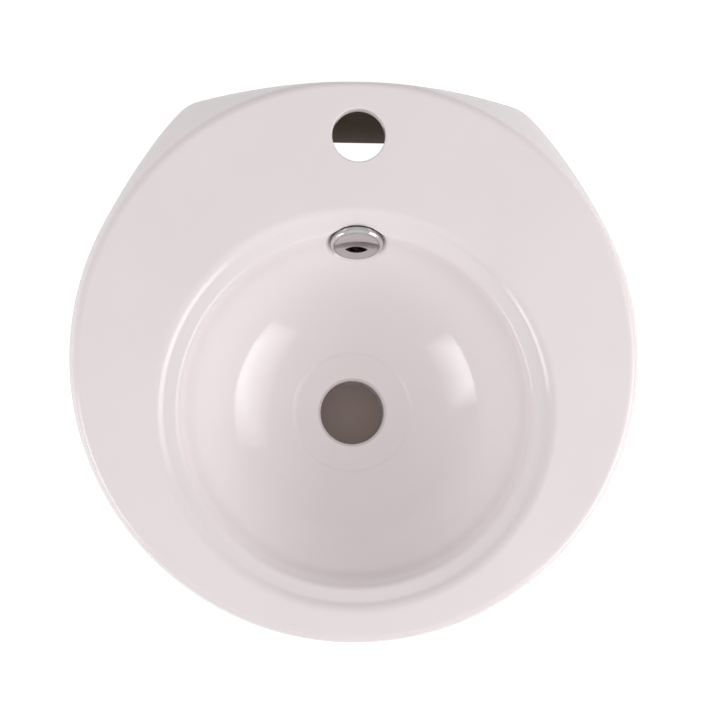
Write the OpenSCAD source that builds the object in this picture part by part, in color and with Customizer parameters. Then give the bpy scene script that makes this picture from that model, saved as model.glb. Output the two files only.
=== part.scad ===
// Round washbasin in one piece of glazed ceramic, with a flat back for the wall.
// The bowl sits forward in a round deck, one tap hole stands behind it, and a
// push-in chrome overflow ring closes the hole in the bowl's back wall.
// Origin: middle of the footprint, on the counter. +Y points to the wall.

/* [Rim and deck] */
// Radius of the round rim, seen from above
rim_r = 189; // [180:1:205]
// Height of the deck above the counter
deck_h = 160; // [152:1:190]
// Distance from the rim's centre to the wall face
wall_reach = 180; // [170:1:184]
// Thickness of the deck
deck_t = 10; // [8:0.5:13]
// Rounding where the deck turns down
edge_r = 7; // [4:0.5:9]

/* [Back and outside] */
// Half width of the back where it is widest, without its rounding
shoulder_w = 122; // [110:1:132]
// Rounding of the two back corners, seen from above
shoulder_r = 14; // [12:0.5:20]
// Lean of the flank that runs down behind the deck, off the vertical
flank_tilt = 23; // [15:1:30]
// How far forward the flank's own centre lies from the rim's
flank_shift = 4; // [2:0.5:8]
// Thickness of the outer walls
wall_t = 10; // [8:0.5:11]
// Thickness of the flat back, which carries the fixings
back_t = 14.5; // [14.5:0.5:18]
// Height of the upright band below the deck
band_h = 50; // [40:1:60]
// Radius of the belly where it stands on the counter
foot_r = 150; // [142:1:160]

/* [Bowl] */
// How far forward of the rim's centre the bowl and the waste hole lie
bowl_shift = 37; // [30:1:42]
// Radius of the bowl at the inner edge of its ledge
bowl_r = 115.5; // [105:0.5:120]
// Radius of the bowl's wall, seen in section
bowl_curve = 110; // [106:1:116]
// Slope of the bowl's wall just below the ledge
bowl_slope = 70; // [68:1:72]
// Thickness of the bowl's wall
bowl_t = 9; // [7:0.5:11]
// Width of the sloping ledge round the bowl
ledge_w = 7; // [4:0.5:10]
// Slope of that ledge
ledge_slope = 18; // [10:1:25]
// Rounding from the deck down to the ledge
ledge_r = 9; // [6:0.5:11]
// Rounding where the ledge starts
ledge_foot_r = 6; // [4:0.5:8]
// Rounding where the ledge turns down into the bowl
ledge_lip_r = 3; // [2:0.5:4]

/* [Waste hole] */
// Diameter of the waste hole
waste_d = 44; // [42:0.5:46]
// Rounding at the mouth of the waste hole
waste_lip_r = 3.2; // [2:0.1:4]
// Radius of the shallow recess for the waste's flange
recess_r = 42; // [38:0.5:46]
// Depth of the step into that recess
recess_step = 1.9; // [1:0.1:2.5]
// Wall round the waste hole, below the bowl
boss_t = 13; // [10:0.5:16]
// Height of the waste boss's underside above the counter
boss_lift = 26; // [18:1:32]

/* [Tap hole] */
// Diameter of the tap hole
tap_d = 35; // [32:0.5:36]
// Distance from the rim's centre back to the tap hole
tap_reach = 143; // [138:0.5:146]
// Rounding at the mouth of the tap hole
tap_lip_r = 1.2; // [0.5:0.1:2]

/* [Wall fixing] */
// Diameter of the two fixing holes in the back
fix_d = 12; // [10:0.5:14]
// Distance between the two fixing holes
fix_span = 180; // [160:1:188]
// Height of the fixing holes above the counter
fix_h = 78; // [70:1:82]

/* [Overflow] */
// Diameter of the overflow hole in the bowl's wall
flow_d = 25; // [24:0.1:26]
// Slope of the bowl's wall where the overflow hole stands
flow_slope = 64; // [62:0.5:65]
// Depth of the round seat for the overflow ring, sunk into the bowl's wall
seat_depth = 2.4; // [1.8:0.1:3]
// Width of the seat's floor that shows round the ring
seat_margin = 0.8; // [0.5:0.1:1.2]
// Rounding of the seat's flared side
seat_flare = 12; // [10:0.5:13]
// Width of the overflow channel inside the ceramic
duct_w = 24; // [20:1:26]
// Depth of the overflow channel
duct_d = 11; // [8:0.5:12]
// Wall round the overflow channel
duct_t = 6; // [5:0.5:7]
// Thickness of ceramic left between the bowl and the channel
duct_skin = 7; // [6:0.5:8]

/* [Overflow ring] */
// Outer diameter of the chrome ring
ring_d = 35; // [34:0.5:38]
// Height of the ring's rounded bead
ring_h = 4.2; // [3.5:0.1:5.5]
// Width of the ring's rounded bead
ring_bead = 4.4; // [3.5:0.1:5]
// Drop from the top of the bead to the edge of the dished plate
dish_drop = 1.2; // [0.8:0.1:1.6]
// Hollow of the dished plate
dish_depth = 2.2; // [1.4:0.1:2.4]
// Thickness of the dished plate and the ring's collar
ring_t = 1.1; // [0.8:0.1:1.4]
// Length of the ring's collar behind its seal
collar_l = 9; // [6:0.5:11]
// Height of the water slot in the dished plate
slot_h = 8.4; // [7:0.2:9]
// Thickness of the rubber seal behind the bead
seal_t = 0.9; // [0.7:0.1:1.3]
// Thickness of the bush round the collar, without its fins
bush_t = 1.5; // [1.2:0.1:1.7]
// Length of the bush in the wall
bush_l = 9.5; // [8:0.5:12]
// Number of gripping fins round the bush
fin_count = 4; // [3:1:5]
// Height of those fins
fin_h = 0.35; // [0.2:0.05:0.5]
// Air between the bush's fins and the ceramic
bush_gap = 0.15; // [0.1:0.05:0.3]
// Air between pieces that lie one inside the other
seat_gap = 0.05; // [0.03:0.01:0.1]

/* [Hidden] */

fine = 128;
arc_steps = 6;
wall_steps = 20;
belly_steps = 8;
over = 1;

glaze = "whitesmoke";
chrome = "silver";
rubber = "dimgray";

// Places of the three upright axes along Y, measured from the middle of the footprint
rim_y = (rim_r - wall_reach) / 2;
bowl_y = rim_y - bowl_shift;
tap_y = rim_y + tap_reach;
wall_y = rim_y + wall_reach;

// Points of an arc in a half section, from slope a0 to slope a1 of its tangent
function arc_points(c, r, a0, a1, n) =
    [for (i = [0 : n]) let (a = a0 + (a1 - a0) * i / n) [c[0] + r * sin(a), c[1] - r * cos(a)]];

// Flank: the round edge of the deck, then a straight lean outwards
deck_r = rim_r - flank_shift - edge_r * cos(flank_tilt);
flank_lean = tan(flank_tilt);

// Belly: an upright band, then one arc down to the foot
belly_drop = deck_h - band_h;
belly_in = rim_r - foot_r;
belly_curve = (belly_in * belly_in + belly_drop * belly_drop) / (2 * belly_in);

// Shoulders: the back corners, and the straight sides that run from them to the rim
corner_dist = sqrt(shoulder_w * shoulder_w + wall_reach * wall_reach);
side_turn = atan2(wall_reach, shoulder_w) - acos(rim_r / corner_dist);
// The sides are set in by this, so that none of their faces lies on the turned belly
side_ease = 0.6;
corner_y = wall_reach - shoulder_r;
corner_x = (rim_r - shoulder_r - corner_y * sin(side_turn)) / cos(side_turn);

// Bowl: centre of the arc of its wall, below the deck's surface
ledge_fall = 45;
ledge_x3 = bowl_r + ledge_lip_r * (sin(bowl_slope) - sin(ledge_slope));
ledge_x2 = ledge_x3 + ledge_w * cos(ledge_slope);
ledge_x1 = ledge_x2 + ledge_foot_r * (sin(ledge_fall) - sin(ledge_slope));
ledge_x0 = ledge_x1 + ledge_r * sin(ledge_fall);
ledge_z1 = -ledge_r * (1 - cos(ledge_fall));
ledge_z2 = ledge_z1 - ledge_foot_r * (cos(ledge_slope) - cos(ledge_fall));
ledge_z3 = ledge_z2 - ledge_w * sin(ledge_slope);
bowl_z = ledge_z3 - ledge_lip_r * (cos(ledge_slope) - cos(bowl_slope));
curve_x = bowl_r - bowl_curve * sin(bowl_slope);
curve_z = bowl_z + bowl_curve * cos(bowl_slope);

// Recess for the waste's flange: an edge that rolls down, a hollow, then a gently falling floor
waste_r = waste_d / 2;
recess_turn = 62;
recess_fall = 6;
recess_slope = asin((recess_r - curve_x) / bowl_curve);
recess_z = curve_z - bowl_curve * cos(recess_slope);
recess_curve = recess_step / (cos(recess_slope) + cos(recess_fall) - 2 * cos(recess_turn));
hollow_x = recess_r - recess_curve * (sin(recess_turn) - sin(recess_slope));
hollow_z = recess_z - recess_curve * (cos(recess_slope) - cos(recess_turn));
floor_x = hollow_x - recess_curve * (sin(recess_turn) - sin(recess_fall));
floor_z = hollow_z - recess_curve * (cos(recess_fall) - cos(recess_turn));

// Mouth of the waste hole, and the boss round it
mouth_x = waste_r + waste_lip_r * (1 - sin(recess_fall));
mouth_z = floor_z - (floor_x - mouth_x) * tan(recess_fall);
throat_z = mouth_z - waste_lip_r * cos(recess_fall);
boss_r = waste_r + boss_t;

// Overflow hole: its place on the bowl's wall, and the channel behind it
flow_x = curve_x + bowl_curve * sin(flow_slope);
flow_z = curve_z - bowl_curve * cos(flow_slope);
flow_r = flow_d / 2;
duct_in = bowl_curve + duct_skin + seat_depth;
duct_out = duct_in + duct_d;
duct_root = bowl_curve + bowl_t / 2;
duct_top = flow_slope + asin(flow_r / duct_in);

// Flared side of the seat: its slope at the floor and where it runs out into the wall
flare_foot = 60;
flare_end = 20;

// Overflow ring: radii from the hole inwards, and heights above the bowl's wall
bush_r = flow_r - bush_gap;
core_r = bush_r - fin_h;
collar_r = core_r - bush_t - seat_gap;
slot_r = collar_r - ring_t;
ring_r = ring_d / 2;
seal_z = -seat_depth + seat_gap;
bead_z = seal_z + seal_t + seat_gap;
bead_r = ring_bead / 2;
dish_r = ring_r - ring_bead;
dish_edge_z = bead_z + ring_h - dish_drop;
dish_curve = (dish_r * dish_r + dish_depth * dish_depth) / (2 * dish_depth);

// Seen from above: the flat back with its two rounded corners, and open room in front of them
module back_outline(inset) {
    far = 2 * rim_r;
    side = [cos(side_turn), sin(side_turn)];
    corner = [corner_x, corner_y];
    right = [[far, -far], corner + far * side, corner, [corner_x, wall_reach - inset]];
    left = [for (i = [3 : -1 : 0]) [-right[i][0], right[i][1]]];
    union() {
        polygon(concat(right, left));
        for (s = [-1, 1]) translate([s * corner_x, corner_y]) circle(shoulder_r - inset, $fn = fine);
    }
}

// Deck edge and flank, turned about the flank's own axis
module flank_form() {
    fall = deck_h + 2 * over;
    run = edge_r * (1 - sin(flank_tilt));
    edge = arc_points([deck_r, -edge_r], edge_r, 180, 90 + flank_tilt, arc_steps);
    end_x = deck_r + edge_r * cos(flank_tilt) + (fall - run) * flank_lean;
    translate([0, rim_y - flank_shift, deck_h])
        rotate_extrude($fn = fine)
            polygon(concat([[0, -fall], [0, 0]], edge, [[end_x, -fall]]));
}

// Room below the deck, inside the flank
module flank_room() {
    fall = deck_h + 2 * over;
    run = edge_r * (1 - sin(flank_tilt));
    base_x = deck_r + edge_r * cos(flank_tilt) - wall_t / cos(flank_tilt);
    translate([0, rim_y - flank_shift, deck_h])
        rotate_extrude($fn = fine)
            polygon([
                [0, -fall],
                [0, -deck_t],
                [base_x + (deck_t - run) * flank_lean, -deck_t],
                [base_x + (fall - run) * flank_lean, -fall]
            ]);
}

// Half section of the outside: upright band, then the round belly, carried back over the axis
module side_section(inset, drop, back) {
    curve = belly_curve - inset;
    foot_slope = acos((belly_drop + drop) / curve);
    polygon(concat(
        [[-back, over], [rim_r - inset, over]],
        arc_points([rim_r - belly_curve, -band_h], curve, 90, foot_slope, belly_steps),
        [[-back, -deck_h - drop]]
    ));
}

// The section run straight back along one side, a hair inside and below the turned one
module side_slab(inset, drop) {
    far = 2 * rim_r;
    rotate([0, 0, side_turn])
        translate([-side_ease, far, -side_ease / 2])
            rotate([90, 0, 0])
                linear_extrude(far)
                    side_section(inset, drop, far);
}

// The section turned round the rim's axis, with both straight sides behind it
module side_form(inset, drop) {
    translate([0, rim_y, deck_h]) {
        rotate_extrude($fn = fine) side_section(inset, drop, 0);
        intersection() {
            side_slab(inset, drop);
            mirror([1, 0, 0]) side_slab(inset, drop);
        }
    }
}

// Outside of the basin
module outer_form() {
    intersection() {
        side_form(0, 0);
        translate([0, rim_y, 0]) linear_extrude(deck_h + over) back_outline(0);
        flank_form();
    }
}

// Hollow under the deck
module underside_room() {
    depth = 2 * rim_r;
    intersection() {
        side_form(wall_t, 2 * over);
        translate([0, rim_y, -over]) linear_extrude(deck_h + over) back_outline(wall_t);
        translate([-rim_r, wall_y - back_t - depth, -over]) cube([2 * rim_r, depth, deck_h + over]);
        flank_room();
    }
}

// Inside of the bowl, from the deck down to the throat of the waste hole
module bowl_room() {
    deck_edge = arc_points([ledge_x0, -ledge_r], ledge_r, 180, 180 + ledge_fall, arc_steps);
    foot = arc_points(
        [ledge_x2 - ledge_foot_r * sin(ledge_slope), ledge_z2 + ledge_foot_r * cos(ledge_slope)],
        ledge_foot_r, ledge_fall, ledge_slope, arc_steps);
    lip = arc_points(
        [ledge_x3 + ledge_lip_r * sin(ledge_slope), ledge_z3 - ledge_lip_r * cos(ledge_slope)],
        ledge_lip_r, 180 + ledge_slope, 180 + bowl_slope, arc_steps);
    wall = arc_points([curve_x, curve_z], bowl_curve, bowl_slope, recess_slope, wall_steps);
    edge = arc_points(
        [recess_r + recess_curve * sin(recess_slope), recess_z - recess_curve * cos(recess_slope)],
        recess_curve, 180 + recess_slope, 180 + recess_turn, arc_steps);
    hollow = arc_points(
        [hollow_x - recess_curve * sin(recess_turn), hollow_z + recess_curve * cos(recess_turn)],
        recess_curve, recess_turn, recess_fall, arc_steps);
    mouth = arc_points([waste_r + waste_lip_r, throat_z], waste_lip_r, 180 + recess_fall, 270, arc_steps);
    translate([0, bowl_y, deck_h])
        rotate_extrude($fn = fine)
            polygon(concat(
                [[0, over], [ledge_x0, over]],
                deck_edge, foot, lip, wall, edge, hollow, mouth,
                [[0, throat_z]]
            ));
}

// Outside of the bowl, with the boss that carries the waste
module bowl_shell() {
    shell_curve = bowl_curve + bowl_t;
    top_slope = acos((curve_z + deck_t - over) / shell_curve);
    foot_slope = asin((boss_r - over - curve_x) / shell_curve);
    translate([0, bowl_y, deck_h]) {
        rotate_extrude($fn = fine)
            polygon(concat(
                [[0, -deck_t + over]],
                arc_points([curve_x, curve_z], shell_curve, top_slope, foot_slope, wall_steps),
                [[0, curve_z - shell_curve * cos(foot_slope)]]
            ));
        translate([0, 0, boss_lift - deck_h])
            cylinder(h = deck_h - boss_lift + throat_z, r = boss_r, $fn = fine);
    }
}

// Slice of a ring round the centre of the bowl's wall, between two slopes of that wall
module wall_slice(r_in, r_out, slope_0, slope_1) {
    far = 2 * r_out;
    translate([curve_x, curve_z])
        intersection() {
            difference() {
                circle(r_out, $fn = fine);
                circle(r_in, $fn = fine);
            }
            polygon([
                [0, 0],
                [far * sin(slope_0), -far * cos(slope_0)],
                [far * sin(slope_1), -far * cos(slope_1)]
            ]);
        }
}

// A flat outline in the middle plane, given depth across the basin
module across(width) {
    translate([-width / 2, bowl_y, deck_h])
        rotate([90, 0, 90])
            linear_extrude(width)
                children();
}

// Ceramic round the overflow channel, on the back of the bowl
module duct_block() {
    foot_slope = asin((waste_r + boss_t / 2 - curve_x) / duct_in);
    top_slope = acos((curve_z + deck_t - over) / (duct_out + duct_t));
    across(duct_w + 2 * duct_t)
        wall_slice(duct_root, duct_out + duct_t, foot_slope, top_slope);
}

// Channel that carries the overflow's water down into the waste hole
module duct_room() {
    across(duct_w)
        wall_slice(duct_in, duct_out, asin((waste_r / 2 - curve_x) / duct_out), duct_top);
}

// Places its children on the bowl's back wall, with +Z out of the wall into the bowl
module at_overflow() {
    translate([0, bowl_y + flow_x, deck_h + flow_z])
        rotate([flow_slope, 0, 0])
            children();
}

// Round seat with a flared side, and the hole behind it that opens into the channel
module overflow_hole() {
    floor_r = ring_r + seat_margin;
    flare = arc_points(
        [floor_r + seat_flare * sin(flare_foot), -seat_depth - seat_flare * cos(flare_foot)],
        seat_flare, 180 + flare_foot, 180 + flare_end, arc_steps);
    end = flare[arc_steps] + seat_flare * [cos(flare_end), sin(flare_end)];
    rotate_extrude($fn = fine)
        polygon(concat([[0, -seat_depth], [floor_r, -seat_depth]], flare, [end, [0, end[1]]]));
    translate([0, 0, -seat_depth - bush_l - 2 * over])
        cylinder(h = bush_l + 3 * over, r = flow_r, $fn = fine);
}

// Hole in the deck with a rounded mouth, cut from the deck's surface down
module tap_hole() {
    r = tap_d / 2;
    mouth = arc_points([r + tap_lip_r, -tap_lip_r], tap_lip_r, 180, 270, arc_steps);
    translate([0, tap_y, deck_h]) {
        rotate_extrude($fn = fine)
            polygon(concat([[0, over], [r + tap_lip_r, over]], mouth, [[0, -tap_lip_r]]));
        translate([0, 0, -deck_t - over])
            cylinder(h = deck_t, r = r, $fn = fine);
    }
}

// The whole fired piece: deck, bowl, outer walls, back, overflow channel and waste boss
module basin_body() {
    color(glaze)
        difference() {
            union() {
                difference() {
                    outer_form();
                    underside_room();
                }
                bowl_shell();
                duct_block();
            }
            bowl_room();
            duct_room();
            translate([0, bowl_y, boss_lift - over])
                cylinder(h = deck_h - boss_lift + 2 * over + throat_z, r = waste_r, $fn = fine);
            at_overflow() overflow_hole();
            tap_hole();
            for (s = [-1, 1])
                translate([s * fix_span / 2, wall_y + over, fix_h])
                    rotate([90, 0, 0])
                        cylinder(h = back_t + 2 * over, r = fix_d / 2, $fn = fine);
        }
}

// Chrome ring: a rounded bead, a dished plate with the water slot, and a collar behind
module overflow_ring() {
    bead_base = bead_z + ring_h - bead_r;
    slot_curve = 1.45 * slot_r;
    color(chrome)
        at_overflow()
            difference() {
                rotate_extrude($fn = fine)
                    union() {
                        intersection() {
                            translate([ring_r - bead_r, bead_base]) circle(bead_r, $fn = fine);
                            translate([dish_r, bead_z]) square([ring_bead, ring_h]);
                        }
                        translate([dish_r, bead_z]) square([ring_bead, bead_base - bead_z]);
                        translate([slot_r, bead_z]) square([dish_r - slot_r + bead_r / 2, ring_t]);
                        translate([slot_r, seal_z - collar_l])
                            square([ring_t, dish_edge_z - ring_t - seal_z + collar_l]);
                        intersection() {
                            translate([0, dish_edge_z - dish_depth + dish_curve])
                                difference() {
                                    circle(dish_curve + ring_t, $fn = fine);
                                    circle(dish_curve, $fn = fine);
                                }
                            translate([0, bead_z]) square([dish_r + ring_t, ring_h]);
                        }
                    }
                translate([0, 0, bead_z - over])
                    linear_extrude(ring_h + over)
                        intersection() {
                            circle(slot_r, $fn = fine);
                            translate([0, slot_h - slot_r - slot_curve]) circle(slot_curve, $fn = fine);
                        }
            }
}

// Soft bush that grips the hole in the ceramic and holds the ring's collar
module overflow_bush() {
    foot = seal_z - seat_gap - bush_l;
    bore_r = collar_r + seat_gap;
    fin_pitch = bush_l / (fin_count + 1);
    color(rubber)
        at_overflow()
            difference() {
                union() {
                    translate([0, 0, foot]) cylinder(h = bush_l, r = core_r, $fn = fine);
                    for (i = [1 : fin_count])
                        translate([0, 0, foot + i * fin_pitch]) {
                            cylinder(h = fin_pitch / 4, r = bush_r, $fn = fine);
                            translate([0, 0, -fin_pitch / 4])
                                cylinder(h = fin_pitch / 4, r1 = core_r, r2 = bush_r, $fn = fine);
                        }
                }
                translate([0, 0, foot - over])
                    cylinder(h = bush_l + 2 * over, r = bore_r, $fn = fine);
            }
}

// Flat seal between the bead and its seat
module overflow_seal() {
    color(rubber)
        at_overflow()
            translate([0, 0, seal_z])
                difference() {
                    cylinder(h = seal_t, r = ring_r - seal_t, $fn = fine);
                    translate([0, 0, -over])
                        cylinder(h = seal_t + 2 * over, r = collar_r + seat_gap, $fn = fine);
                }
}

basin_body();
overflow_ring();
overflow_bush();
overflow_seal();
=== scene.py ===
"""Looks of a round glazed washbasin with a flat back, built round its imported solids."""

import math

import bmesh
import bpy
from bpy.props import FloatProperty, FloatVectorProperty, PointerProperty
from mathutils import Matrix, Vector


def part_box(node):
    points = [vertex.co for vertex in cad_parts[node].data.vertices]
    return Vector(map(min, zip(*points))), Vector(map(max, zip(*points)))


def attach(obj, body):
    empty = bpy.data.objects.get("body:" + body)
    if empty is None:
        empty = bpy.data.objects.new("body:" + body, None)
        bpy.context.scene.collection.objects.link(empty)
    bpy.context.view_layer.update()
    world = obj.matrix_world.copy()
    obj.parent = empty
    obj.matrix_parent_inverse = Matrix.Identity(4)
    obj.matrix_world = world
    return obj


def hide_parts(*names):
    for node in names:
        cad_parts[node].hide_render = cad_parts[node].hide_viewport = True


bl_info = {
    "name": "Round washbasin",
    "version": (1, 1, 0),
    "blender": (4, 5, 0),
    "location": "View3D > Sidebar > Basin",
    "description": "Builds the looks of a round glazed washbasin round its packed solids",
    "category": "Object",
}

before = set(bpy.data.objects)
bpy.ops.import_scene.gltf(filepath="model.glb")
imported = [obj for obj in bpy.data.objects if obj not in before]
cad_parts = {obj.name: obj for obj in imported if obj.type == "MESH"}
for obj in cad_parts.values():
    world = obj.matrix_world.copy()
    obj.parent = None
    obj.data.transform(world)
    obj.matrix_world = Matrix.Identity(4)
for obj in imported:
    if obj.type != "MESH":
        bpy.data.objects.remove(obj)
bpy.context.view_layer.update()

MM = 0.001

# Deck and footprint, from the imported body; lengths below are in millimetres from here on
BODY_LOW, BODY_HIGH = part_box("basin_body")
RIM_R = BODY_HIGH.x / MM
WALL_Y = BODY_HIGH.y / MM
DECK_H = BODY_HIGH.z / MM
RIM_Y = BODY_LOW.y / MM + RIM_R
RIM_CENTRE = Vector((0.0, RIM_Y * MM, DECK_H * MM))
WALL_REACH = WALL_Y - RIM_Y
BOWL_Y = RIM_Y - 37.0
TAP_Y = RIM_Y + 143.0
TAP_R = 17.5
FIX_R = 6.0
FIX_X = 90.0
FIX_H = 78.0
OVER = 2.0

# Flank and sides
EDGE_R = 7.0
FLANK_TILT = math.radians(23)
FLANK_SHIFT = 4.0
FLANK_R = RIM_R - FLANK_SHIFT
FLANK_START = EDGE_R * (1 - math.sin(FLANK_TILT))
DECK_R = FLANK_R - EDGE_R * math.cos(FLANK_TILT)
SIDE_TURN = math.radians(26.23)
BAND_H = 50.0
BELLY_CURVE = 174.63
WALL_T = 10.0
BACK_T = 12.5
DECK_T = 10.0

# Bowl, its ledge and the waste hole, heights from the deck down
BOWL_CURVE = 110.0
CURVE_X = 12.134
CURVE_Z = 29.532
SHELL_CURVE = BOWL_CURVE + 9.0
WASTE_R = 22.0
BOSS_R = 35.0
BOSS_LIFT = 26.0

# Edges of the bowl from the deck down: centre out and up, radius, first and last slope, steps
BOWL_TOP_R = 132.49
BOWL_EDGES = (
    (132.802, -9.0, 9.0, 182, 225, 14),
    (122.195, 1.6063, 6.0, 44, 18, 8),
    (119.865, -10.716, 5.0, 198, 250, 12),
    (CURVE_X, CURVE_Z, BOWL_CURVE, 69.4, 16.0, 52),
    (43.281, -79.091, 3.0, 198, 222, 7),
    (37.728, -72.923, 5.3, 39, 9, 8),
    (WASTE_R + 2.4, -80.64, 0.8, 188, 242, 6),
)

# Bevel that leads into the waste hole's bore: distance out of the bore and drop below the deck
WASTE_MOUTH = ((0.6, 82.3), (0.15, 83.3), (0.0, 84.3))

# Lamps: metres from the bowl to the first panel and between panels, then the panels in degrees:
# turn off the lamp's own direction, width, height
LAMP_DISTANCE = 1.3
PANEL_GAP = 0.02
RIGHT_PANELS = ((0, 62, 30), (-3, 54, 24), (-5, 44, 18), (-6, 34, 13), (-7, 24, 9))
LEFT_PANELS = ((0, 36, 26), (0, 32, 21), (0, 28, 17), (0, 24, 13), (0, 20, 9))

# Overflow
FLOW_SLOPE = math.radians(64)
SEAT_DEPTH = 2.4
HOLE_R = 12.5
RING_R = 17.5
RING_H = 4.2
SEAL_T = 0.9
GAP = 0.05
SEAL_Z = -SEAT_DEPTH + GAP
COLLAR_HOLE_R = 10.5

# Overflow channel: inner and outer curve, first and last slope of the bowl's wall, width, rounding
DUCT_ROOM = (119.4, 130.4, -0.5, 70.0, 24.0, 0.0)
DUCT_WALLS = (SHELL_CURVE - 4.5, 136.4, 11.3, 71.0, 36.0, 4.0)

# Steps round the axis of the outside, the bowl's inside, the hidden forms and the ring
OUTER_STEPS = 320
BOWL_STEPS = 256
HIDDEN_STEPS = 160
RING_STEPS = 192


class BasinGlaze(bpy.types.PropertyGroup):
    colour: FloatVectorProperty(
        name="Glaze colour", description="Colour of the white glaze",
        subtype="COLOR", size=3, min=0, max=1, default=(0.88, 0.809, 0.818))
    roughness: FloatProperty(
        name="Glaze roughness", description="Roughness of the fired glaze",
        subtype="FACTOR", min=0, max=1, default=0.07)
    wave: FloatProperty(
        name="Glaze waviness", description="Depth of the glaze's slow waves",
        subtype="DISTANCE", unit="LENGTH", min=0, max=0.001, default=0.00006)
    body_colour: FloatVectorProperty(
        name="Body colour", description="Colour of the bare fired clay underneath",
        subtype="COLOR", size=3, min=0, max=1, default=(0.62, 0.48, 0.38))
    edge_round: FloatProperty(
        name="Flank blend",
        description="Width of the soft blend between flank, sides and back, in millimetres",
        min=1, max=12, default=5.0)


class BasinOverflow(bpy.types.PropertyGroup):
    slot_height: FloatProperty(
        name="Slot height", description="Height of the ring's water slot, in millimetres",
        min=5, max=8.4, default=6.6)
    dish_lean: FloatProperty(
        name="Dish lean", description="Slope of the ring's dished plate at its edge",
        subtype="ANGLE", unit="ROTATION",
        min=math.radians(5), max=math.radians(20), default=math.radians(13))
    chrome_colour: FloatVectorProperty(
        name="Chrome colour", description="Colour of the plated ring",
        subtype="COLOR", size=3, min=0, max=1, default=(0.75, 0.74, 0.75))
    seal_colour: FloatVectorProperty(
        name="Seal colour", description="Colour of the rubber seal",
        subtype="COLOR", size=3, min=0, max=1, default=(0.02, 0.02, 0.02))
    bush_colour: FloatVectorProperty(
        name="Bush colour", description="Colour of the soft bush",
        subtype="COLOR", size=3, min=0, max=1, default=(0.20, 0.20, 0.20))


class BasinStage(bpy.types.PropertyGroup):
    camera_distance: FloatProperty(
        name="Camera distance", description="Distance from the deck to the camera",
        subtype="DISTANCE", unit="LENGTH", default=1.1)
    camera_lens: FloatProperty(
        name="Lens", description="Focal length on a 36 mm wide sensor",
        subtype="DISTANCE_CAMERA", unit="CAMERA", default=84.0)
    camera_tilt: FloatVectorProperty(
        name="Camera tilt",
        description="Lean of the view off straight down, about X and Y, and its roll",
        subtype="EULER", unit="ROTATION", size=3,
        default=(math.radians(-3.37), math.radians(1.99), math.radians(-0.71)))
    camera_offset: FloatVectorProperty(
        name="Camera offset",
        description="Where the rim's centre stands off the middle of the picture",
        subtype="TRANSLATION", unit="LENGTH", size=2, default=(-0.0036, 0.0040))
    floor_colour: FloatVectorProperty(
        name="Floor colour", description="Colour of the pale floor",
        subtype="COLOR", size=3, min=0, max=1, default=(0.78, 0.78, 0.78))
    room_light: FloatProperty(
        name="Room light", description="Strength of the even light from all round",
        min=0, max=3, default=0.58)
    lamp_light: FloatProperty(
        name="Lamp light", description="Brightness of the two soft boxes beside the basin",
        min=0, max=20, default=5.0)


def new_material(name):
    """A material with an emptied tree, its Principled BSDF and its output."""
    material = bpy.data.materials.new(name)
    material.use_nodes = True
    tree = material.node_tree
    tree.nodes.clear()
    shader = tree.nodes.new("ShaderNodeBsdfPrincipled")
    output = tree.nodes.new("ShaderNodeOutputMaterial")
    tree.links.new(shader.outputs["BSDF"], output.inputs["Surface"])
    return material, tree, shader


def new_group(name, inputs, outputs):
    """An empty shader node group with its named sockets, and its two ends."""
    tree = bpy.data.node_groups.new(name, "ShaderNodeTree")
    for label, kind in inputs:
        tree.interface.new_socket(name=label, in_out="INPUT", socket_type=kind)
    for label, kind in outputs:
        tree.interface.new_socket(name=label, in_out="OUTPUT", socket_type=kind)
    return tree, tree.nodes.new("NodeGroupInput").outputs, tree.nodes.new("NodeGroupOutput").inputs


def add_noise(tree, place, scale, detail):
    """Noise on the object's own coordinates, in metres."""
    cloud = tree.nodes.new("ShaderNodeTexNoise")
    tree.links.new(place.outputs["Object"], cloud.inputs["Vector"])
    tree.links.new(scale, cloud.inputs["Scale"])
    tree.links.new(detail, cloud.inputs["Detail"])
    return cloud.outputs["Fac"]


def add_range(tree, value, start, end):
    """Map of a value from that range onto 0 to 1, or onto ends that are linked afterwards."""
    node = tree.nodes.new("ShaderNodeMapRange")
    node.inputs["From Min"].default_value = start
    node.inputs["From Max"].default_value = end
    tree.links.new(value, node.inputs["Value"])
    return node


def clouds_group():
    """Soft clouds in a finish: its colour and its roughness drift together."""
    tree, given, out = new_group(
        CLOUDS,
        [("Scale", "NodeSocketFloat"), ("Detail", "NodeSocketFloat"),
         ("Dark", "NodeSocketColor"), ("Light", "NodeSocketColor"),
         ("Smooth", "NodeSocketFloat"), ("Rough", "NodeSocketFloat")],
        [("Colour", "NodeSocketColor"), ("Roughness", "NodeSocketFloat")])
    place = tree.nodes.new("ShaderNodeTexCoord")
    cloud = add_noise(tree, place, given["Scale"], given["Detail"])
    blend = tree.nodes.new("ShaderNodeMix")
    blend.data_type = "RGBA"
    tree.links.new(add_range(tree, cloud, 0.3, 0.7).outputs["Result"], blend.inputs["Factor"])
    tree.links.new(given["Dark"], blend.inputs["A"])
    tree.links.new(given["Light"], blend.inputs["B"])
    tree.links.new(blend.outputs["Result"], out["Colour"])
    haze = add_range(tree, cloud, 0.25, 0.75)
    tree.links.new(given["Smooth"], haze.inputs["To Min"])
    tree.links.new(given["Rough"], haze.inputs["To Max"])
    tree.links.new(haze.outputs["Result"], out["Roughness"])


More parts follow.
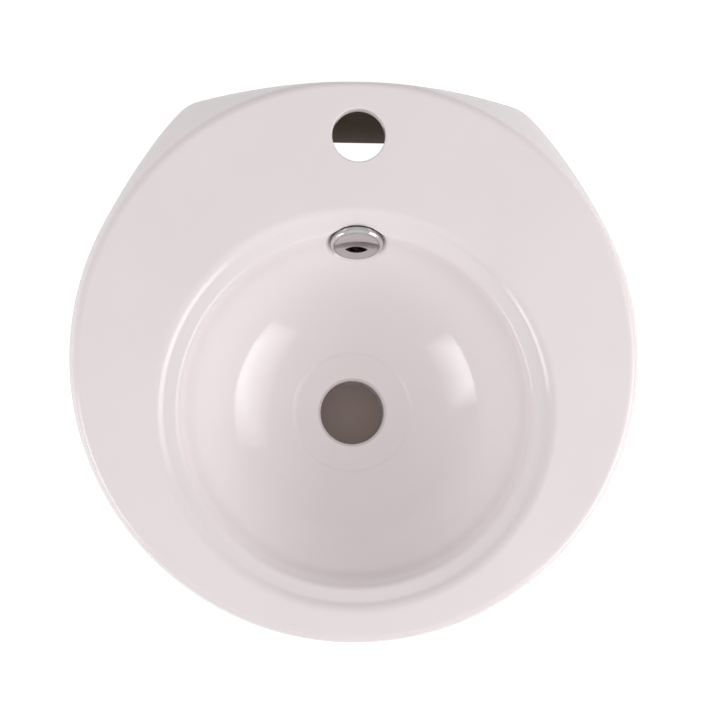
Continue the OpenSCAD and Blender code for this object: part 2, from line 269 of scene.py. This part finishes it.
def relief_group():
    """Slow waves with a fine grain over them, each with a depth in metres."""
    tree, given, out = new_group(
        RELIEF,
        [(f"{layer} {value}", "NodeSocketFloat")
         for layer in ("Wave", "Grain") for value in ("scale", "detail", "depth")],
        [("Normal", "NodeSocketVector")])
    place = tree.nodes.new("ShaderNodeTexCoord")
    under = None
    for layer in ("Wave", "Grain"):
        node = tree.nodes.new("ShaderNodeBump")
        height = add_noise(tree, place, given[f"{layer} scale"], given[f"{layer} detail"])
        tree.links.new(height, node.inputs["Height"])
        tree.links.new(given[f"{layer} depth"], node.inputs["Distance"])
        if under is not None:
            tree.links.new(under, node.inputs["Normal"])
        under = node.outputs["Normal"]
    tree.links.new(under, out["Normal"])


def place_group(tree, name, values):
    """Places a group in a material with its own values, and builds it the first time."""
    if name not in bpy.data.node_groups:
        GROUPS[name]()
    node = tree.nodes.new("ShaderNodeGroup")
    node.node_tree = bpy.data.node_groups[name]
    for label, value in values.items():
        node.inputs[label].default_value = value
    return node.outputs


CLOUDS = "soft_clouds"
RELIEF = "fine_relief"
GROUPS = {CLOUDS: clouds_group, RELIEF: relief_group}


def finish(name, clouds, dark, light, haze, wave, grain):
    """A material of clouds, given by scale and detail, and of wave and grain, with depth too."""
    material, tree, shader = new_material(name)
    drift = place_group(tree, CLOUDS, {
        "Scale": clouds[0], "Detail": clouds[1], "Dark": (*dark, 1), "Light": (*light, 1),
        "Smooth": haze[0], "Rough": haze[1]})
    tree.links.new(drift["Colour"], shader.inputs["Base Color"])
    tree.links.new(drift["Roughness"], shader.inputs["Roughness"])
    relief = place_group(tree, RELIEF, {
        "Wave scale": wave[0], "Wave detail": wave[1], "Wave depth": wave[2],
        "Grain scale": grain[0], "Grain detail": grain[1], "Grain depth": grain[2]})
    tree.links.new(relief["Normal"], shader.inputs["Normal"])
    return material, shader


def glaze_material(settings):
    """Thick white glaze: faint clouds, slow waves and fine orange peel."""
    colour = settings.colour
    haze = (settings.roughness * 0.8, settings.roughness * 1.3)
    material, shader = finish(
        "white_glaze", (14.0, 3.0),
        [c * 0.985 for c in colour], [min(1, c * 1.012) for c in colour],
        haze, (22.0, 1.0, settings.wave), (420.0, 2.0, settings.wave / 60))
    shader.inputs["IOR"].default_value = 1.52
    return material


def clay_material(settings):
    """Bare fired clay: matt, sandy and a little blotched."""
    colour = settings.body_colour
    return finish(
        "bare_clay", (40.0, 5.0), [c * 0.86 for c in colour], colour,
        (0.78, 0.92), (120.0, 3.0, 0.0005), (1800.0, 4.0, 0.00025))[0]


def chrome_material(colour):
    """Bright plated metal with a faint haze and wipe marks."""
    material, shader = finish(
        "bright_chrome", (90.0, 4.0), [c * 0.92 for c in colour], colour,
        (0.05, 0.12), (60.0, 1.0, 0.0), (700.0, 2.0, 0.000004))
    shader.inputs["Metallic"].default_value = 1.0
    return material


def rubber_material(name, colour):
    """Soft matt rubber with a fine grain."""
    return finish(
        name, (160.0, 4.0), [c * 0.8 for c in colour], colour,
        (0.5, 0.7), (60.0, 1.0, 0.0), (2500.0, 3.0, 0.00004))[0]


def dress(node, material):
    """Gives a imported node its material."""
    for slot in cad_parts[node].material_slots:
        slot.material = material


def arc(cx, cz, r, start, end, count):
    """Points of an arc in a half section, between two slopes of its tangent in degrees."""
    turns = [math.radians(start + (end - start) * i / count) for i in range(count + 1)]
    return [(cx + r * math.sin(t), cz - r * math.cos(t)) for t in turns]


def to_object(bm, name, index=0):
    """A linked object with the mesh's own faces, smooth and of one material index."""
    bmesh.ops.recalc_face_normals(bm, faces=bm.faces)
    for face in bm.faces:
        face.smooth = True
        face.material_index = index
    mesh = bpy.data.meshes.new(name)
    bm.to_mesh(mesh)
    bm.free()
    obj = bpy.data.objects.new(name, mesh)
    bpy.context.scene.collection.objects.link(obj)
    return obj


def turned(section, steps):
    """A closed form turned round the Z axis from a half section of radii and heights."""
    bm = bmesh.new()
    verts = [bm.verts.new((x * MM, 0, z * MM)) for x, z in section]
    edges = [bm.edges.new(pair) for pair in zip(verts, verts[1:])]
    bmesh.ops.spin(
        bm, geom=verts + edges, cent=(0, 0, 0), axis=(0, 0, 1), angle=math.tau,
        steps=steps, use_merge=True)
    bmesh.ops.remove_doubles(bm, verts=bm.verts, dist=1e-7)
    bmesh.ops.holes_fill(bm, edges=[e for e in bm.edges if e.is_boundary], sides=0)
    return bm


def turned_ring(section, steps):
    """A ring turned round the Z axis from a closed section."""
    bm = bmesh.new()
    verts = [bm.verts.new((x * MM, 0, z * MM)) for x, z in section]
    edges = [bm.edges.new(pair) for pair in zip(verts, verts[1:] + verts[:1])]
    bmesh.ops.spin(
        bm, geom=verts + edges, cent=(0, 0, 0), axis=(0, 0, 1), angle=math.tau,
        steps=steps, use_merge=True)
    bmesh.ops.remove_doubles(bm, verts=bm.verts, dist=1e-7)
    return bm


def shift(bm, x, y, z):
    """Moves a whole mesh, in millimetres."""
    bmesh.ops.translate(bm, verts=bm.verts, vec=(x * MM, y * MM, z * MM))
    return bm


def soft_min(a, b, width):
    """The smaller of two numbers, rounded off where they cross."""
    near = max(width - abs(a - b), 0) / width
    return min(a, b) - near * near * width / 4


def side_reach(drop, inset):
    """Radius of the upright band and the belly below it."""
    if drop <= BAND_H:
        return RIM_R - inset
    curve = BELLY_CURVE - inset
    return RIM_R - BELLY_CURVE + math.sqrt(curve * curve - (drop - BAND_H) ** 2)


def flank_reach(drop, inset):
    """Radius of the deck's rounded edge and the leaning flank, about the flank's own axis."""
    if drop < FLANK_START and inset == 0:
        return DECK_R + math.sqrt(EDGE_R ** 2 - (EDGE_R - drop) ** 2)
    return FLANK_R + (drop - FLANK_START) * math.tan(FLANK_TILT) - inset / math.cos(FLANK_TILT)


def form_reach(turn, drop, inset, back_inset, blend):
    """Distance from the rim's axis out to the side, back or flank, whichever comes first."""
    s = math.sin(turn)
    c = abs(math.cos(turn))
    side = side_reach(drop, inset)
    lean = math.atan2(s, c) - SIDE_TURN
    if lean > 0:
        side = side / math.cos(lean)
    plan = side
    if s > 0.3:
        plan = soft_min(side, (WALL_REACH - back_inset) / s, 2 * blend)
    reach = flank_reach(drop, inset)
    flank = math.sqrt(reach * reach - (FLANK_SHIFT * c) ** 2) - FLANK_SHIFT * s
    return soft_min(plan, flank, blend)


def shaped_form(rows, steps, inset, back_inset, blend, trim):
    """The basin's outline at each drop below the deck, as one closed form in the row frame."""
    bm = turned([(100.0, -drop) for drop in rows], steps)
    for vert in bm.verts:
        turn = math.atan2(vert.co.y, vert.co.x)
        drop = -vert.co.z / MM
        reach = (form_reach(turn, drop, inset, back_inset, blend) - trim(drop)) * MM
        vert.co.x = reach * math.cos(turn)
        vert.co.y = reach * math.sin(turn)
    return shift(bm, 0, RIM_Y, DECK_H)


def outer_form(blend):
    """Outside of the basin, with its foot rounded off."""
    foot_r = 3.0

    def trim(drop):
        low = max(drop - (DECK_H - foot_r), 0)
        return foot_r - math.sqrt(max(foot_r ** 2 - low ** 2, 0))

    edge = [EDGE_R * (1 - math.cos(math.radians(4 + 5 * i))) for i in range(14)]
    rows = [0.0] + [d for d in edge if d < FLANK_START]
    rows += [FLANK_START + (DECK_H - foot_r - FLANK_START) * i / 36 for i in range(37)]
    rows += [DECK_H - foot_r * (1 - math.sin(math.radians(15 * i))) for i in range(1, 7)]
    return shaped_form(rows, OUTER_STEPS, 0, 0, blend, trim)


def underside_form(blend):
    """Hollow under the deck, with rounded inner corners."""
    fillet_r = 6.0

    def trim(drop):
        high = max(DECK_T + fillet_r - drop, 0)
        return fillet_r - math.sqrt(max(fillet_r ** 2 - high ** 2, 0))

    rows = [DECK_T + fillet_r * (1 - math.cos(math.radians(18 * i))) for i in range(6)]
    rows += [DECK_T + fillet_r + 6.9 * i for i in range(1, 21)] + [DECK_H + OVER]
    return shaped_form(rows, HIDDEN_STEPS, WALL_T, BACK_T, blend, trim)


def bowl_form():
    """Inside of the bowl: deck edge, ledge, wall, recess, mouth and bore of the waste hole."""
    section = [(BOWL_TOP_R, OVER)]
    for edge in BOWL_EDGES:
        section += arc(*edge)
    section += [(WASTE_R + out, -drop) for out, drop in WASTE_MOUTH]
    foot = WASTE_MOUTH[-1][1]
    section += [(WASTE_R, -foot - 4 * i) for i in range(1, 13)]
    section += [(WASTE_R, -(DECK_H - BOSS_LIFT) - OVER)]
    return shift(turned(section, BOWL_STEPS), 0, BOWL_Y, DECK_H)


def shell_form():
    """Outside of the bowl and the boss under it, blended into the deck and into each other."""
    deck_fillet = 8.0
    boss_fillet = 10.0
    reach = SHELL_CURVE + deck_fillet
    rise = CURVE_Z + DECK_T + deck_fillet
    top_x = CURVE_X + math.sqrt(reach ** 2 - rise ** 2)
    top_turn = math.degrees(math.acos(rise / reach))
    low = SHELL_CURVE + boss_fillet
    low_turn = math.degrees(math.asin((BOSS_R + boss_fillet - CURVE_X) / low))
    low_z = CURVE_Z - low * math.cos(math.radians(low_turn))
    floor_z = BOSS_LIFT - DECK_H
    section = [(top_x, -DECK_T + 1.0)]
    section += arc(top_x, -DECK_T - deck_fillet, deck_fillet, 180, 180 + top_turn, 8)
    section += arc(CURVE_X, CURVE_Z, SHELL_CURVE, top_turn, low_turn, 40)[1:]
    section += arc(BOSS_R + boss_fillet, low_z, boss_fillet, 180 + low_turn, 270, 8)[1:]
    section += arc(BOSS_R - 2.0, floor_z + 2.0, 2.0, 90, 0, 5)
    return shift(turned(section, HIDDEN_STEPS), 0, BOWL_Y, DECK_H)


def duct_slice(inner, outer, start, end, width, round_r):
    """Curved bar along the back of the bowl, between two slopes of its wall."""
    outline = arc(CURVE_X, CURVE_Z, inner, start, end, 28)
    outline += arc(CURVE_X, CURVE_Z, outer, end, start, 28)
    bm = bmesh.new()
    verts = [bm.verts.new((-width / 2 * MM, y * MM, z * MM)) for y, z in outline]
    face = bm.faces.new(verts)
    grown = bmesh.ops.extrude_face_region(bm, geom=[face])
    moved = [g for g in grown["geom"] if isinstance(g, bmesh.types.BMVert)]
    bmesh.ops.translate(bm, verts=moved, vec=(width * MM, 0, 0))
    if round_r:
        rims = [e for e in bm.edges if abs(e.verts[0].co.x - e.verts[1].co.x) < 1e-6]
        bmesh.ops.bevel(
            bm, geom=rims, offset=round_r * MM, segments=4, profile=0.5, affect="EDGES",
            material=-1)
    return shift(bm, 0, BOWL_Y, DECK_H)


def to_overflow(bm):
    """Carries a form to the bowl's back wall, with its own Z out of the wall."""
    bmesh.ops.rotate(bm, verts=bm.verts, cent=(0, 0, 0), matrix=Matrix.Rotation(FLOW_SLOPE, 3, "X"))
    out = CURVE_X + BOWL_CURVE * math.sin(FLOW_SLOPE)
    down = CURVE_Z - BOWL_CURVE * math.cos(FLOW_SLOPE)
    return shift(bm, 0, BOWL_Y + out, DECK_H + down)


def overflow_form():
    """Round seat with a flared side, and the hole behind it."""
    floor_r = RING_R + 0.3
    flare_r = 9.6
    foot = math.radians(64)
    low = -SEAT_DEPTH
    section = [(HOLE_R, low - 11.5), (HOLE_R, low - 0.5), (HOLE_R + 0.4, low), (HOLE_R + 3.0, low)]
    section += [(floor_r - 0.5, low), (floor_r - 0.1, low + 0.25)]
    flare_out = floor_r + flare_r * math.sin(foot)
    flare_low = low - flare_r * math.cos(foot)
    section += arc(flare_out, flare_low, flare_r, 242, 196, 20)
    out_r, out_z = section[-1]
    section += [(out_r + 12.0, out_z + 3.9), (out_r + 12.0, out_z + 9.0)]
    return to_overflow(turned(section, RING_STEPS))


def tap_form():
    """Hole in the deck with a rounded mouth."""
    lip_r = 1.2
    section = [(TAP_R + lip_r, OVER)] + arc(TAP_R + lip_r, -lip_r, lip_r, 188, 268, 10)
    section += [(TAP_R, -3.0), (TAP_R, -6.0), (TAP_R, -DECK_T - OVER)]
    return shift(turned(section, HIDDEN_STEPS), 0, TAP_Y, DECK_H)


def fixing_form(side):
    """Hole for a wall bolt in the back."""
    bm = turned([(FIX_R, -BACK_T - OVER), (FIX_R, OVER)], 64)
    lying = Matrix.Rotation(math.radians(-90), 3, "X")
    bmesh.ops.rotate(bm, verts=bm.verts, cent=(0, 0, 0), matrix=lying)
    return shift(bm, side * FIX_X, WALL_Y, FIX_H)


def combine(piece, how, parts):
    """Cuts forms from a piece or joins them to it in one go, and keeps the result as its mesh."""
    group = bpy.data.collections.new("forms")
    for part in parts:
        group.objects.link(part)
    modifier = piece.modifiers.new("form", "BOOLEAN")
    modifier.solver = "EXACT"
    modifier.operation = how
    modifier.operand_type = "COLLECTION"
    modifier.collection = group
    bpy.context.view_layer.update()
    done = piece.evaluated_get(bpy.context.evaluated_depsgraph_get())
    mesh = bpy.data.meshes.new_from_object(done)
    piece.modifiers.clear()
    piece.data = mesh
    for part in parts:
        bpy.data.objects.remove(part)
    bpy.data.collections.remove(group)


def finish_shading(piece, angle):
    """Smooth faces with sharp edges past an angle, and normals that follow the large faces."""
    bm = bmesh.new()
    bm.from_mesh(piece.data)
    bmesh.ops.remove_doubles(bm, verts=bm.verts, dist=2e-6)
    bmesh.ops.dissolve_degenerate(bm, edges=bm.edges, dist=1e-6)
    bmesh.ops.recalc_face_normals(bm, faces=bm.faces)
    bm.to_mesh(piece.data)
    bm.free()
    piece.data.polygons.foreach_set("use_smooth", [True] * len(piece.data.polygons))
    piece.data.set_sharp_from_angle(angle=math.radians(angle))
    modifier = piece.modifiers.new("normals", "WEIGHTED_NORMAL")
    modifier.keep_sharp = True
    modifier.weight = 100


class BASIN_OT_body(bpy.types.Operator):
    """Builds the glazed body with its bowl, hollow underside, boss, channel and holes"""

    bl_idname = "basin.body"
    bl_label = "Basin body"

    def execute(self, context):
        settings = context.scene.basin_glaze
        blend = settings.edge_round
        body = to_object(outer_form(blend), "glazed_body")
        for material in (glaze_material(settings), clay_material(settings)):
            body.data.materials.append(material)
        combine(body, "DIFFERENCE", [to_object(underside_form(blend), "cut_underside", 1)])
        combine(body, "UNION", [
            to_object(shell_form(), "add_shell", 1),
            to_object(duct_slice(*DUCT_WALLS), "add_duct", 1),
        ])
        combine(body, "DIFFERENCE", [
            to_object(bowl_form(), "cut_bowl"),
            to_object(duct_slice(*DUCT_ROOM), "cut_duct", 1),
            to_object(overflow_form(), "cut_seat"),
            to_object(tap_form(), "cut_tap"),
            to_object(fixing_form(1), "cut_fixing_right", 1),
            to_object(fixing_form(-1), "cut_fixing_left", 1),
        ])
        finish_shading(body, 38)
        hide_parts("basin_body")
        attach(body, "basin")
        return {"FINISHED"}


def ring_form(lean):
    """The chrome ring: rounded bead that flows into the dished plate, and the collar behind."""
    base = SEAL_Z
    bead_z = base + SEAL_T + GAP
    top = bead_z + RING_H
    bead_r = 2.2
    collar = 10.45
    plate_t = 1.1
    dish_r = (RING_R - bead_r) / math.sin(lean) - bead_r
    dish_z = top - bead_r + (dish_r + bead_r) * math.cos(lean)
    dish = [(0.001, dish_z - dish_r)] + arc(0, dish_z, dish_r, 1.0, math.degrees(lean), 13)
    bead = arc(RING_R - bead_r, top - bead_r, bead_r, 177 + math.degrees(lean), 90, 14)
    skirt = [(RING_R, bead_z + 0.25), (RING_R - 0.25, bead_z), (14.0, bead_z), (collar, bead_z)]
    foot = base - 9.0
    tube = [(collar, foot + 0.2), (collar - 0.2, foot)]
    tube += [(collar - 0.9, foot), (collar - plate_t, foot + 0.2)]
    back_r = dish_r + plate_t
    back_turn = math.degrees(math.asin((collar - plate_t - 0.1) / back_r))
    back = [(collar - plate_t, bead_z + 0.02)] + arc(0, dish_z, back_r, back_turn, 0.5, 7)
    back += [(0.001, dish_z - back_r)]
    return turned_ring(dish + bead + skirt + tube + back, RING_STEPS)


def slot_form(height):
    """Crescent that is cut from the dished plate for the water."""
    slot_r = 9.3
    bend = 1.45 * slot_r
    high_y = height - slot_r - bend
    meet = math.acos((bend ** 2 - slot_r ** 2 - high_y ** 2) / (2 * high_y * slot_r))
    end = math.degrees(meet) - 2.5
    low = [(slot_r * math.sin(t), -slot_r * math.cos(t)) for t in
           [math.radians(end * (i / 12 - 1)) for i in range(25)]]
    high = []
    for i in range(23):
        x = low[-1][0] * (1 - 2 * (i + 1) / 24)
        high.append((x, high_y + math.sqrt(bend ** 2 - x ** 2)))
    bm = bmesh.new()
    face = bm.faces.new([bm.verts.new((x * MM, y * MM, -1.2 * MM)) for x, y in low + high])
    grown = bmesh.ops.extrude_face_region(bm, geom=[face])
    moved = [g for g in grown["geom"] if isinstance(g, bmesh.types.BMVert)]
    bmesh.ops.translate(bm, verts=moved, vec=(0, 0, 8 * MM))
    return to_overflow(bm)


def seal_form():
    """Flat seal with its outer edges eased."""
    ease = 0.1
    high = SEAL_Z + SEAL_T
    outline = [(COLLAR_HOLE_R, SEAL_Z), (RING_R - ease, SEAL_Z), (RING_R, SEAL_Z + ease)]
    outline += [(RING_R, high - ease), (RING_R - ease, high), (COLLAR_HOLE_R, high)]
    return turned_ring(outline, 128)


class BASIN_OT_overflow(bpy.types.Operator):
    """Builds the chrome overflow ring and its seal, and finishes its bush"""

    bl_idname = "basin.overflow"
    bl_label = "Overflow ring"

    def execute(self, context):
        settings = context.scene.basin_overflow
        ring = to_object(to_overflow(ring_form(settings.dish_lean)), "chrome_ring")
        ring.data.materials.append(chrome_material(settings.chrome_colour))
        combine(ring, "DIFFERENCE", [to_object(slot_form(settings.slot_height), "cut_slot")])
        finish_shading(ring, 40)
        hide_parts("overflow_ring")
        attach(ring, "overflow_trim")
        dress("overflow_bush", rubber_material("grey_rubber", settings.bush_colour))
        seal = to_object(to_overflow(seal_form()), "rubber_seal")
        seal.data.materials.append(rubber_material("black_rubber", settings.seal_colour))
        finish_shading(seal, 40)
        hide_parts("overflow_seal")
        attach(seal, "overflow_trim")
        return {"FINISHED"}


def near(tree, place, centre, reach):
    """1 on the floor within that reach of a point, 0 past it."""
    apart = tree.nodes.new("ShaderNodeVectorMath")
    apart.operation = "DISTANCE"
    apart.inputs[1].default_value = centre
    tree.links.new(place.outputs["Object"], apart.inputs[0])
    inside = tree.nodes.new("ShaderNodeMath")
    inside.operation = "LESS_THAN"
    inside.inputs[1].default_value = reach
    tree.links.new(apart.outputs["Value"], inside.inputs[0])
    return inside.outputs["Value"]


def mix(tree, factor, low, high):
    """Mix of two colours; the first may be another node's colour."""
    node = tree.nodes.new("ShaderNodeMix")
    node.data_type = "RGBA"
    if isinstance(low, tuple):
        node.inputs["A"].default_value = (*low, 1)
    else:
        tree.links.new(low, node.inputs["A"])
    node.inputs["B"].default_value = (*high, 1)
    tree.links.new(factor, node.inputs["Factor"])
    return node.outputs["Result"]


def floor_material(colour):
    """Pale floor, evenly white outside the shadow, with painted light and painted shade under the
    basin: a painted white glow under the tap hole, where the hollow shades the floor, and a painted
    dim warm brown glow under the waste hole in place of the white.
    """
    material, tree, shader = new_material("pale_floor")
    shader.inputs["Base Color"].default_value = (*colour, 1)
    shader.inputs["Roughness"].default_value = 0.8
    place = tree.nodes.new("ShaderNodeTexCoord")
    # Painted light: the floor under the tap hole glows white, though the hollow above it keeps it
    # in shade.
    painted_light_below_tap = near(tree, place, (0, TAP_Y * MM, 0), 0.04)
    # Painted shade: within 0.1 m under the waste hole the white sheet gives way to a dim warm brown
    # glow that stands in for the shade seen through the waste hole.
    painted_shade_below_waste = near(tree, place, (0, BOWL_Y * MM, 0), 0.1)
    sheet_with_painted_tap_light = mix(tree, painted_light_below_tap, (0.52, 0.52, 0.52), (1.0, 1.0, 1.0))
    painted_floor_patches = mix(tree, painted_shade_below_waste, sheet_with_painted_tap_light, (0.058, 0.034, 0.026))
    tree.links.new(painted_floor_patches, shader.inputs["Emission Color"])
    path = tree.nodes.new("ShaderNodeLightPath")
    seen = tree.nodes.new("ShaderNodeMath")
    seen.operation = "MULTIPLY_ADD"
    seen.inputs[1].default_value = 0.3
    tree.links.new(path.outputs["Is Glossy Ray"], seen.inputs[0])
    tree.links.new(path.outputs["Is Camera Ray"], seen.inputs[2])
    # The glow is full for camera rays, weaker for glossy rays and faint for all other rays, so the
    # painted patches also cast a little light into the hollow.
    glow = tree.nodes.new("ShaderNodeMapRange")
    glow.inputs["To Min"].default_value = 0.16
    tree.links.new(seen.outputs["Value"], glow.inputs["Value"])
    tree.links.new(glow.outputs["Result"], shader.inputs["Emission Strength"])
    return material


def soft_box(name, azimuth, low, sizes, brightness):
    """A studio lamp that fades upwards and sideways: panels that share their lower edge."""
    aim = Vector((0, BOWL_Y * MM, (DECK_H - 40) * MM))
    for number, (turn, wide, high) in enumerate(sizes):
        a = math.radians(azimuth + turn)
        e = math.radians(low + high / 2)
        distance = LAMP_DISTANCE - PANEL_GAP * number
        way = Vector((math.cos(a) * math.cos(e), math.sin(a) * math.cos(e), math.sin(e)))
        place = aim + distance * way
        data = bpy.data.lights.new(f"{name}_{number}", "AREA")
        data.shape = "RECTANGLE"
        data.size = 2 * distance * math.tan(math.radians(wide / 2))
        data.size_y = 2 * distance * math.tan(math.radians(high / 2))
        data.energy = brightness / len(sizes) * math.pi * data.size * data.size_y
        lamp = bpy.data.objects.new(data.name, data)
        bpy.context.scene.collection.objects.link(lamp)
        lamp.location = place
        lamp.rotation_euler = (aim - place).to_track_quat("-Z", "Y").to_euler()


def make_camera(settings):
    """Camera nearly straight above, leaning as in the photograph."""
    tilt = settings.camera_tilt
    to_camera = Matrix.Rotation(tilt[2], 3, "Z")
    to_camera = to_camera @ Matrix.Rotation(tilt[1], 3, "Y") @ Matrix.Rotation(tilt[0], 3, "X")
    offset = settings.camera_offset
    seen_at = Vector((offset[0], offset[1], -settings.camera_distance))
    data = bpy.data.cameras.new("camera")
    data.sensor_width = 36.0
    data.lens = settings.camera_lens
    camera = bpy.data.objects.new("camera", data)
    bpy.context.scene.collection.objects.link(camera)
    world = to_camera.transposed().to_4x4()
    world.translation = RIM_CENTRE - to_camera.transposed() @ seen_at
    camera.matrix_world = world
    bpy.context.scene.camera = camera


def make_world(strength):
    """Even room light, strongest from above, in surroundings that the camera sees as white."""
    world = bpy.data.worlds.new("studio")
    world.use_nodes = True
    tree = world.node_tree
    background = tree.nodes["Background"]
    background.inputs["Color"].default_value = (1.0, 0.985, 0.985, 1)
    place = tree.nodes.new("ShaderNodeTexCoord")
    slant = tree.nodes.new("ShaderNodeVectorMath")
    slant.operation = "DOT_PRODUCT"
    slant.inputs[1].default_value = (0.02, -0.08, 0.45)
    tree.links.new(place.outputs["Generated"], slant.inputs[0])
    level = tree.nodes.new("ShaderNodeMapRange")
    level.inputs["From Min"].default_value = -0.5
    level.inputs["From Max"].default_value = 0.5
    level.inputs["To Min"].default_value = strength * 0.3
    level.inputs["To Max"].default_value = strength * 1.3
    tree.links.new(slant.outputs["Value"], level.inputs["Value"])
    seen = tree.nodes.new("ShaderNodeMapRange")
    path = tree.nodes.new("ShaderNodeLightPath")
    tree.links.new(path.outputs["Is Camera Ray"], seen.inputs["Value"])
    tree.links.new(level.outputs["Result"], seen.inputs["To Min"])
    tree.links.new(seen.outputs["Result"], background.inputs["Strength"])
    bpy.context.scene.world = world


class BASIN_OT_stage(bpy.types.Operator):
    """Lays the floor and sets up the lamps and the camera"""

    bl_idname = "basin.stage"
    bl_label = "Stage"

    def execute(self, context):
        settings = context.scene.basin_stage
        bpy.ops.mesh.primitive_grid_add(
            x_subdivisions=4, y_subdivisions=4, size=6, location=(0, 0, -0.0004))
        floor = context.object
        floor.name = "floor"
        floor.data.materials.append(floor_material(settings.floor_colour))
        make_world(settings.room_light)
        soft_box("lamp_right", -14, 12, RIGHT_PANELS, settings.lamp_light)
        soft_box("lamp_left", 202, 12, LEFT_PANELS, settings.lamp_light)
        make_camera(settings)
        context.scene.view_settings.view_transform = "Standard"
        return {"FINISHED"}


class BASIN_PT_panel(bpy.types.Panel):
    """Steps and settings of the basin's looks"""

    bl_idname = "BASIN_PT_panel"
    bl_label = "Basin"
    bl_space_type = "VIEW_3D"
    bl_region_type = "UI"
    bl_category = "Basin"

    def draw(self, context):
        layout = self.layout
        for step in STEPS:
            layout.operator(step.bl_idname)
        scene = context.scene
        for group in (scene.basin_glaze, scene.basin_overflow, scene.basin_stage):
            for name in group.__annotations__:
                layout.prop(group, name)


STEPS = (BASIN_OT_stage, BASIN_OT_body, BASIN_OT_overflow)
CLASSES = (BasinGlaze, BasinOverflow, BasinStage, *STEPS, BASIN_PT_panel)


def register():
    for cls in CLASSES:
        bpy.utils.register_class(cls)
    bpy.types.Scene.basin_glaze = PointerProperty(type=BasinGlaze)
    bpy.types.Scene.basin_overflow = PointerProperty(type=BasinOverflow)
    bpy.types.Scene.basin_stage = PointerProperty(type=BasinStage)


def unregister():
    del bpy.types.Scene.basin_stage
    del bpy.types.Scene.basin_overflow
    del bpy.types.Scene.basin_glaze
    for cls in reversed(CLASSES):
        bpy.utils.unregister_class(cls)


def main():
    register()
    bpy.ops.basin.stage()
    bpy.ops.basin.body()
    bpy.ops.basin.overflow()


if __name__ == "__main__":
    main()
